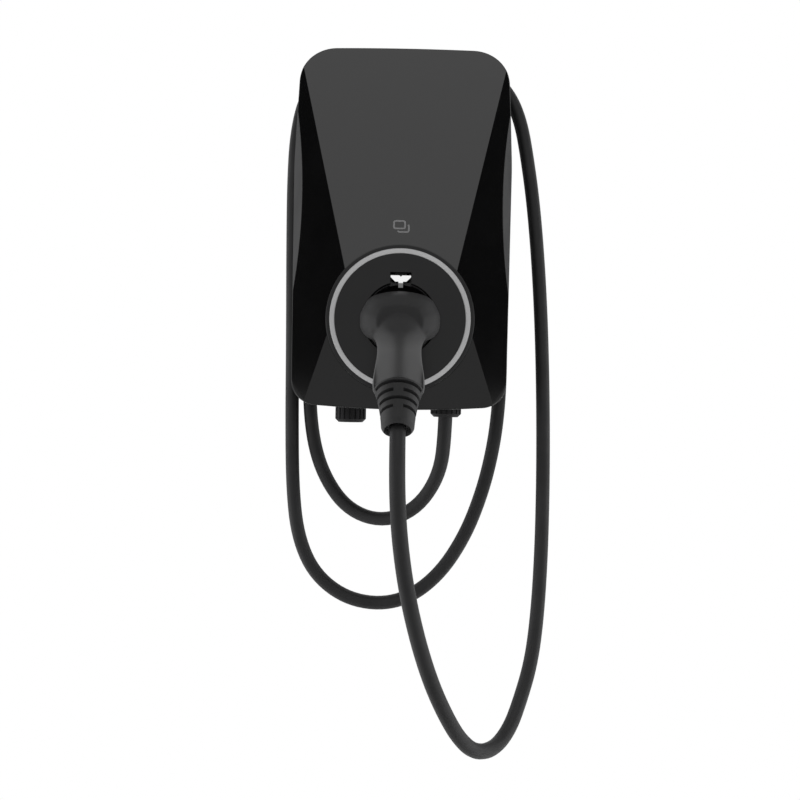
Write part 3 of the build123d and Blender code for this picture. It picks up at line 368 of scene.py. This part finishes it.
# Front cover
# One moulded shell in satin black: a leaning middle panel, two side facets that fold away from it, and a
# flat lower front round the holster. The hollow cheeks have a matt grain, and their faces that look
# sideways are given a lighter colour as painted sheen. It is screwed on from behind.
cover_satin = grained("cover_satin", (0.0034, 0.0034, 0.0035), 0.14, 0.0006, 0.000003, strength=0.15,
                      patchy=0.005, shine=0.28)
cheek_grain_and_painted_sheen = grained("cheek_grain_and_painted_sheen", (0.025, 0.025, 0.0255), 0.6, 0.0008, 0.00004, shine=0.2)
cheek_turn = 0.85
cover = dressed("front_cover", "front_cover_shell", cover_satin, 30.0)
cover.data.materials.append(cheek_grain_and_painted_sheen)
# Painted sheen: faces that look sideways get the lighter, matt cheek colour.
for face in cover.data.polygons:
    if abs(face.normal.x) > cheek_turn:
        face.material_index = 1


# Card sign
# A plain sign of two cards in grey ink, printed on the leaning panel in front of the card reader. The card
# behind shows only where the front one leaves it free.
sign_middle = Vector((-0.0004, -0.09252, -0.0088))
panel_lean = math.atan(0.31808)
print_height = 0.00006
stroke = 0.0015
card_width = 0.0098
card_height = 0.0074
card_corner = 0.0017
card_shift = 0.0034


def card_outline(middle_x, middle_up):
    """Points round a card with rounded corners, from the middle of its top edge to the right."""
    points = []
    for turn, across, upward in ((90, 1, 1), (0, 1, -1), (270, -1, -1), (180, -1, 1)):
        corner_x = middle_x + across * (card_width / 2 - card_corner)
        corner_up = middle_up + upward * (card_height / 2 - card_corner)
        for part in range(6):
            angle = math.radians(turn - 18 * part)
            x = corner_x + card_corner * math.cos(angle)
            points.append((x, corner_up + card_corner * math.sin(angle)))
    return points


def printed_line(work, points, closed):
    """A flat line of ink along points on the panel."""
    up_panel = Vector((0.0, math.sin(panel_lean), math.cos(panel_lean)))
    off_panel = Vector((0.0, -math.cos(panel_lean), math.sin(panel_lean)))
    rows = []
    for index, (x, up) in enumerate(points):
        before = points[index - 1] if closed or index else points[0]
        after = points[(index + 1) % len(points)] if closed or index + 1 < len(points) else points[-1]
        run = Vector((after[0] - before[0], after[1] - before[1])).normalized()
        pair = []
        for hand in (-stroke / 2, stroke / 2):
            spot = sign_middle + print_height * off_panel
            spot += Vector((x - run.y * hand, 0.0, 0.0)) + (up + run.x * hand) * up_panel
            pair.append(work.verts.new(spot))
        rows.append(pair)
    for one, two in zip(rows, rows[1:] + rows[:1] if closed else rows[1:]):
        work.faces.new((one[0], two[0], two[1], one[1]))


work = bmesh.new()
printed_line(work, card_outline(-card_shift / 2, card_shift / 2), True)
behind_card = card_outline(card_shift / 2, -card_shift / 2)
printed_line(work, behind_card[2:17], False)
sign_mesh = bpy.data.meshes.new("card_sign")
bmesh.ops.recalc_face_normals(work, faces=work.faces)
work.to_mesh(sign_mesh)
work.free()
sign_mesh.materials.append(grained("sign_ink", (0.24, 0.24, 0.243), 0.4, 0.0006, 0.000005, uneven=0.05))
sign = bpy.data.objects.new("card_sign", sign_mesh)
bpy.context.scene.collection.objects.link(sign)
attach(sign, nodes["front_cover"]["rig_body"])


# Holster bezel and light ring
# A round moulded disk in satin black, screwed into the pocket of the cover. Its groove holds the pale light
# guide, lit from behind, that tells the state of charge.
bezel_satin = grained("bezel_satin", (0.0050, 0.0050, 0.0053), 0.30, 0.0005, 0.000008, strength=0.25,
                      patchy=0.01, shine=0.26)
dressed("holster_bezel", "holster_bezel_disk", bezel_satin, 30.0)
light_guide = grained("light_guide", (0.36, 0.36, 0.365), 0.35, 0.002, 0.00002, uneven=0.05)
glow = light_guide.node_tree.nodes["Principled BSDF"]
glow.inputs["Emission Color"].default_value = (1.0, 1.0, 1.0, 1.0)
glow.inputs["Emission Strength"].default_value = 0.15
dressed("light_ring", "light_ring_guide", light_guide, 30.0)


# Plug holster, catch and spring
# A deep moulded cup behind the bezel that takes the nose of the plug. Above it slides a small catch of
# bright plated metal, which a coil spring pushes down. Behind its upper front face the catch is painted
# near-black,
# and its lower front partly so: painted shade of the notch it sits in.
def along_axis(tree, axis, start, end, least=0.0):
    """Pattern that rises from the least value to 1 between two places on an axis of the object."""
    place = tree.nodes.new("ShaderNodeTexCoord")
    split = tree.nodes.new("ShaderNodeSeparateXYZ")
    rise = tree.nodes.new("ShaderNodeMapRange")
    rise.inputs["From Min"].default_value = start
    rise.inputs["From Max"].default_value = end
    rise.inputs["To Min"].default_value = least
    tree.links.new(place.outputs["Object"], split.inputs["Vector"])
    tree.links.new(split.outputs[axis], rise.inputs["Value"])
    return rise.outputs["Result"]


paint(housing_black, "plug_holster")
catch_shade_depths = (-0.1044, -0.1050)
catch_shade_heights = (-0.0612, -0.0590)
catch_chrome = grained("catch_chrome", (0.90, 0.90, 0.90), 0.15, 0.0008, 0.000008, metal=1.0)
tree = catch_chrome.node_tree
shader = tree.nodes["Principled BSDF"]
# Painted shade: the plating is near-black except on the upper front face of the catch.
catch_painted_shade = tree.nodes.new("ShaderNodeMath")
catch_painted_shade.operation = "MULTIPLY"
tree.links.new(along_axis(tree, "Y", *catch_shade_depths), catch_painted_shade.inputs[0])
tree.links.new(along_axis(tree, "Z", *catch_shade_heights, least=0.4), catch_painted_shade.inputs[1])
tint(tree, catch_painted_shade.outputs["Value"], (0.012, 0.012, 0.012), (0.88, 0.88, 0.88), shader.inputs["Base Color"])
paint(catch_chrome, "plug_catch")
spring = dressed("catch_spring", "catch_spring_coil", zinc, 40.0)
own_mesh(spring)


# Charging plug
# A two-shell moulding with a collar and a leaning handle, a nose with seven contacts and a soft
# ribbed boot, open at its mouth, that the cable runs out of. The collar is painted darker than the
# handle, as painted shade on the head.
handle_heights = [-0.148, -0.134, -0.120, -0.106, -0.092]
handle_depths = [0.1495, 0.1425, 0.1345, 0.1240, 0.1140]
handle_halves = [0.0208, 0.0203, 0.0185, 0.0230, 0.0290]
handle_voxel = 0.0007
handle_smoothing = 14
flank_start = -0.100
flank_full = -0.112
flank_slope = 1.05
ridge_round = 0.30
seam_tilt = 0.20
tilt_run = 0.022
seam_slide = 0.0083
slide_run = 0.035
slide_end = 0.0425
mouth_depth = 0.007
mouth_start = 0.034
mouth_end = 0.043
mouth_floor_radius = 0.0085
mouth_rim_radius = 0.0112
boot_lean = math.radians(27.0)


def soft_step(start, end, values):
    """Rise smoothly from 0 to 1 between two values."""
    share = numpy.clip((values - start) / (end - start), 0.0, 1.0)
    return share * share * (3.0 - 2.0 * share)


def points_of(mesh):
    """The points of a mesh as rows."""
    points = numpy.empty(len(mesh.vertices) * 3)
    mesh.vertices.foreach_get("co", points)
    return points.reshape(-1, 3)


def along_boot(points):
    """Distances of points down the axis of the boot, from its top."""
    depth = -points[:, 1] - handle_depths[0]
    height = points[:, 2] - handle_heights[0]
    return depth * math.sin(boot_lean) - height * math.cos(boot_lean)


def set_seam(points):
    """Slide the seam of the handle and the rings of the boot down the axis, a little less at the front."""
    along = along_boot(points)
    depth = -points[:, 1] - handle_depths[0]
    height = points[:, 2] - handle_heights[0]
    reach = depth + numpy.minimum(height, 0.0) * math.tan(boot_lean)
    axis = numpy.interp(points[:, 2], handle_heights, handle_depths)
    reach = numpy.where(height > 0.0, -points[:, 1] - axis, reach)
    points[:, 2] += seam_tilt * numpy.maximum(reach, 0.0) * soft_step(-tilt_run, 0.0, along)
    slide = seam_slide * soft_step(-slide_run, 0.0, along) * numpy.clip(1.0 - along / slide_end, 0.0, 1.0)
    points[:, 1] -= slide * math.sin(boot_lean)
    points[:, 2] -= slide * math.cos(boot_lean)


def shaped_handle(mesh):
    """Melt the handle into the collar and give it flat flanks and a broad, softly rounded front."""
    mesh = evaluated(mesh, "REMESH", mode="VOXEL", voxel_size=handle_voxel)
    points = points_of(mesh)
    front = -points[:, 1] - numpy.interp(points[:, 2], handle_heights, handle_depths)
    side = numpy.abs(points[:, 0]) / numpy.interp(points[:, 2], handle_heights, handle_halves)
    round_share = numpy.sqrt(numpy.clip(1.0 - side ** 2, 0.04, 1.0))
    flat_share = 1.0 - flank_slope * (numpy.sqrt(side ** 2 + ridge_round ** 2) - ridge_round)
    change = (flat_share / round_share - 1.0) * soft_step(flank_start, flank_full, points[:, 2])
    points[:, 1] -= numpy.maximum(front, 0.0) * change
    set_seam(points)
    mesh.vertices.foreach_set("co", points.ravel())
    return evaluated(mesh, "SMOOTH", factor=0.5, iterations=handle_smoothing)


def shaped_boot(mesh):
    """Open the mouth of the boot round the cable and set its rings."""
    points = points_of(mesh)
    along = along_boot(points)
    centre_y = -handle_depths[0] - along * math.sin(boot_lean)
    centre_z = handle_heights[0] - along * math.cos(boot_lean)
    across = numpy.hypot(points[:, 1] - centre_y, points[:, 2] - centre_z)
    inside = 1.0 - soft_step(mouth_floor_radius, mouth_rim_radius, numpy.hypot(points[:, 0], across))
    sunk = mouth_depth * inside * soft_step(mouth_start, mouth_end, along)
    points[:, 1] += sunk * math.sin(boot_lean)
    points[:, 2] += sunk * math.cos(boot_lean)
    set_seam(points)
    mesh.vertices.foreach_set("co", points.ravel())
    return mesh


handle_grey = (0.066, 0.066, 0.0665)
collar_painted_shade_grey = (0.030, 0.030, 0.0305)
collar_shade_heights = (-0.140, -0.085)
plug_satin = grained("plug_satin", handle_grey, 0.50, 0.0006, 0.00003, shine=0.15)
tree = plug_satin.node_tree
shader = tree.nodes["Principled BSDF"]
# Painted shade: the base colour darkens from the handle grey up into the collar between these heights.
tint(tree, along_axis(tree, "Z", *collar_shade_heights), handle_grey, collar_painted_shade_grey, shader.inputs["Base Color"])
dressed("plug_body", "plug_body_shell", plug_satin, 40.0, shaped_handle)
boot_rubber = grained("boot_rubber", (0.033, 0.033, 0.0335), 0.5, 0.0005, 0.00004, shine=0.15)
dressed("plug_boot", "plug_boot_ribs", boot_rubber, 35.0, shaped_boot)
paint(grained("insert_black", (0.012, 0.012, 0.012), 0.45, 0.0006, 0.00004), "plug_insert")
paint(grained("contact_silver", (0.78, 0.76, 0.72), 0.25, 0.001, 0.00001, metal=1.0), "plug_contacts")


# Charging cable
# One round jacketed cable: out of the right gland, wound twice round the hub, then in a free loop up into
# the boot of the plug.
cable_diameter = 0.013
cable_route = [
    (0.0435, -0.0620, -0.1500), (0.0435, -0.0620, -0.1900), (0.0395, -0.0560, -0.2310),
    (0.0180, -0.0430, -0.2650), (-0.0150, -0.0320, -0.2780), (-0.0480, -0.0230, -0.2670),
    (-0.0710, -0.0180, -0.2360), (-0.0830, -0.0160, -0.1980), (-0.0870, -0.0160, -0.1450),
    (-0.0880, -0.0160, -0.0600), (-0.0875, -0.0160, 0.0250), (-0.0850, -0.0160, 0.0750),
    (-0.0750, -0.0160, 0.1120), (-0.0560, -0.0160, 0.1370), (-0.0280, -0.0160, 0.1500),
    (0.0080, -0.0160, 0.1520), (0.0420, -0.0160, 0.1465), (0.0660, -0.0160, 0.1310),
    (0.0820, -0.0160, 0.1060), (0.0890, -0.0160, 0.0720), (0.0925, -0.0160, 0.0200),
    (0.0960, -0.0160, -0.0600), (0.0980, -0.0160, -0.1250), (0.0965, -0.0160, -0.1720),
    (0.0915, -0.0180, -0.2100), (0.0820, -0.0220, -0.2490), (0.0665, -0.0250, -0.2900),
    (0.0430, -0.0270, -0.3270), (0.0130, -0.0270, -0.3510), (-0.0180, -0.0250, -0.3580),
    (-0.0510, -0.0230, -0.3510), (-0.0790, -0.0200, -0.3290), (-0.0945, -0.0180, -0.2950),
    (-0.1005, -0.0160, -0.2510), (-0.1025, -0.0160, -0.1900), (-0.1035, -0.0160, -0.1000),
    (-0.1050, -0.0160, -0.0150), (-0.1055, -0.0160, 0.0500), (-0.1035, -0.0160, 0.0950),
    (-0.0955, -0.0160, 0.1300), (-0.0760, -0.0160, 0.1535), (-0.0470, -0.0160, 0.1650),
    (-0.0080, -0.0160, 0.1675), (0.0300, -0.0160, 0.1670), (0.0610, -0.0160, 0.1630),
    (0.0850, -0.0160, 0.1515), (0.1025, -0.0160, 0.1330), (0.1130, -0.0160, 0.1080),
    (0.1195, -0.0170, 0.0740), (0.1260, -0.0180, 0.0310), (0.1315, -0.0200, -0.0250),
    (0.1355, -0.0230, -0.0880), (0.1380, -0.0270, -0.1620), (0.1385, -0.0330, -0.2370),
    (0.1370, -0.0400, -0.3050), (0.1330, -0.0490, -0.3610), (0.1265, -0.0600, -0.4010),
    (0.1150, -0.0730, -0.4325), (0.1045, -0.0870, -0.4525), (0.0895, -0.1040, -0.4640),
    (0.0715, -0.1230, -0.4605), (0.0565, -0.1390, -0.4435), (0.0435, -0.1500, -0.4195),
    (0.0305, -0.1620, -0.3890), (0.0190, -0.1700, -0.3530), (0.0095, -0.1765, -0.3130),
    (0.0035, -0.1810, -0.2740), (0.0008, -0.1825, -0.2400), (0.0000, -0.1786, -0.2050),
    (0.0000, -0.1636, -0.1756),
]
jacket = grained("cable_jacket", (0.022, 0.022, 0.0225), 0.50, 0.0005, 0.00003, shine=0.2)
line = bpy.data.curves.new("charging_cable", "CURVE")
line.dimensions = "3D"
line.resolution_u = 6
line.bevel_depth = cable_diameter / 2
line.bevel_resolution = 6
line.use_fill_caps = True
spline = line.splines.new("NURBS")
spline.points.add(len(cable_route) - 1)
for point, place in zip(spline.points, cable_route):
    point.co = (*place, 1.0)
spline.order_u = 3
spline.use_endpoint_u = True
line.materials.append(jacket)
cable = bpy.data.objects.new("charging_cable", line)
shown(cable, "charge_cable")


# Studio
# A white room with a pale floor well below the picture. A large soft lamp high in front lights the leaning
# panel, two at the sides light the plug and the cable, and dark cards shade what the facets mirror.
floor_level = -1.2
floor_radius = 1.4
room_light = 0.15
room_seen = 1.0
work = bmesh.new()
bmesh.ops.create_circle(work, cap_ends=True, segments=96, radius=floor_radius)
floor_mesh = bpy.data.meshes.new("studio_floor")
work.to_mesh(floor_mesh)
work.free()
floor_mesh.transform(Matrix.Translation((0.0, 0.0, floor_level)))
floor_paint = grained("floor_paint", (0.80, 0.80, 0.80), 0.8, 0.002, 0.00005, uneven=0.01)
floor_mesh.materials.append(floor_paint)
floor = bpy.data.objects.new("studio_floor", floor_mesh)
bpy.context.scene.collection.objects.link(floor)

world = bpy.data.worlds.new("white_room")
bpy.context.scene.world = world
world.use_nodes = True
room = world.node_tree
white = room.nodes["Background"]
rays = room.nodes.new("ShaderNodeLightPath")
seen = room.nodes.new("ShaderNodeMath")
seen.operation = "MAXIMUM"
mirrored = room.nodes.new("ShaderNodeMath")
mirrored.operation = "MAXIMUM"
level = room.nodes.new("ShaderNodeMapRange")
level.inputs["To Min"].default_value = room_light
level.inputs["To Max"].default_value = room_seen
room.links.new(rays.outputs["Is Camera Ray"], seen.inputs[0])
room.links.new(rays.outputs["Is Glossy Ray"], seen.inputs[1])
room.links.new(seen.outputs["Value"], mirrored.inputs[0])
room.links.new(rays.outputs["Is Transmission Ray"], mirrored.inputs[1])
room.links.new(mirrored.outputs["Value"], level.inputs["Value"])
room.links.new(level.outputs["Result"], white.inputs["Strength"])
white.inputs["Color"].default_value = (1.0, 1.0, 1.0, 1.0)


def soft_light(name, place, target, width, height, power):
    """A large rectangular lamp, turned to its target."""
    lamp = bpy.data.lights.new(name, "AREA")
    lamp.shape = "RECTANGLE"
    lamp.size = width
    lamp.size_y = height
    lamp.energy = power
    holder = bpy.data.objects.new(name, lamp)
    holder.location = place
    holder.rotation_euler = (Vector(target) - Vector(place)).to_track_quat("-Z", "Y").to_euler()
    bpy.context.scene.collection.objects.link(holder)
    return holder


soft_light("panel_light", (0.0, -1.45, 1.70), (0.0, 0.0, 0.05), width=1.4, height=1.3, power=7.9)
for side in (-1.0, 1.0):
    side_light = soft_light("side_light", (side * 1.6, -0.02, -0.22), (0.0, -0.14, -0.15),
                            width=1.3, height=1.6, power=45.0)
    side_light.visible_glossy = False

black_paint = grained("black_paint", (0.004, 0.004, 0.004), 0.8, 0.002, 0.00005, shine=0.1)
grey_paint = grained("grey_paint", (0.004, 0.004, 0.004), 0.8, 0.002, 0.00005, shine=0.1)
glow = grey_paint.node_tree.nodes["Principled BSDF"]
glow.inputs["Emission Color"].default_value = (1.0, 1.0, 1.0, 1.0)
glow.inputs["Emission Strength"].default_value = 0.3
shade_half = 0.5
shade_places = [(1.0, -0.42, 0.60, black_paint), (0.72, 0.96, 0.0, grey_paint)]
for side in (-1.0, 1.0):
    for out, y, z, card_paint in shade_places:
        spot = Vector((side * out, y, z))
        work = bmesh.new()
        bmesh.ops.create_grid(work, x_segments=1, y_segments=1, size=shade_half)
        card_mesh = bpy.data.meshes.new("shade_card")
        work.to_mesh(card_mesh)
        work.free()
        facing = spot.to_track_quat("Z", "Y").to_matrix().to_4x4()
        card_mesh.transform(Matrix.Translation(spot) @ facing)
        card_mesh.materials.append(card_paint)
        card = bpy.data.objects.new("shade_card", card_mesh)
        card.visible_camera = False
        card.visible_diffuse = False
        card.visible_shadow = False
        bpy.context.scene.collection.objects.link(card)

camera_distance = 0.900
camera_height = -0.162
camera_right = 0.0014
picture_turn = -0.02
focal_pixels = 914.7
picture_pixels = 800.0
lens = bpy.data.cameras.new("photo_camera")
lens.sensor_width = 36.0
lens.sensor_fit = "HORIZONTAL"
lens.lens = focal_pixels / picture_pixels * lens.sensor_width
camera = bpy.data.objects.new("photo_camera", lens)
camera.location = (camera_right, -camera_distance, camera_height)
camera.rotation_euler = (math.radians(90.0), picture_turn, 0.0)
bpy.context.scene.collection.objects.link(camera)
bpy.context.scene.camera = camera
bpy.context.scene.view_settings.view_transform = "Standard"
